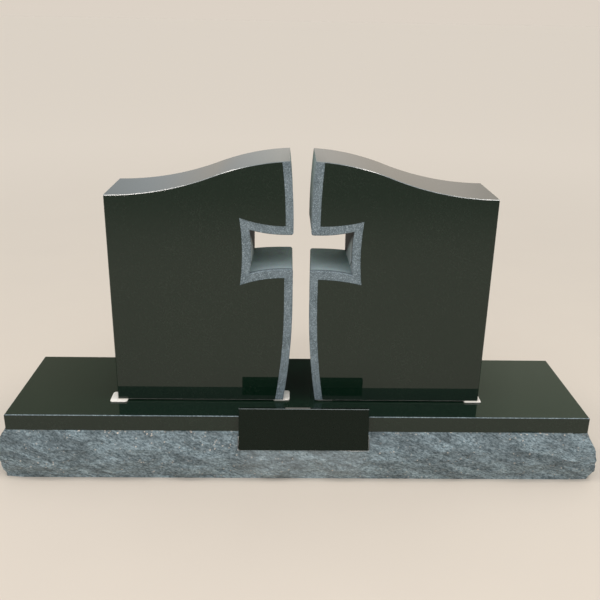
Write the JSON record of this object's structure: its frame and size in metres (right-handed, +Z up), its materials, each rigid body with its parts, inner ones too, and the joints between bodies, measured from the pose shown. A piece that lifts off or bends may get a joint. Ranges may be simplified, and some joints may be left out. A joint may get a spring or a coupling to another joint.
{
  "type": "double granite headstone with an open flared cross",
  "caption": "Double headstone: two serpentine-topped granite tablets on a rock-pitched base, their facing edges cut so that a flared cross stands open between them.",
  "frame": {"origin": "middle of the base's underside", "axes": "+X along the base to the right seen from the front, +Y to the back, +Z up"},
  "size_m": [1.596, 0.428, 0.8258],
  "materials": {
    "polished_granite": "black granite, polished to a mirror; a frosted grey band round the cut-out",
    "pitched_granite": "black granite, rock-pitched, blue-grey where it is broken; polished on top and on the margin",
    "setting_foam": "off-white closed-cell foam"
  },
  "bodies": {
    "root": {"base": "pitched_granite", "tablet_left": "polished_granite", "tablet_right": "polished_granite", "nameplate": "polished_granite", "pad_left_outer_front": "setting_foam", "pad_left_outer_back": "setting_foam", "pad_left_inner_front": "setting_foam", "pad_left_inner_back": "setting_foam", "pad_right_outer_front": "setting_foam", "pad_right_outer_back": "setting_foam", "pad_right_inner_front": "setting_foam", "pad_right_inner_back": "setting_foam"}
  },
  "joints": []
}
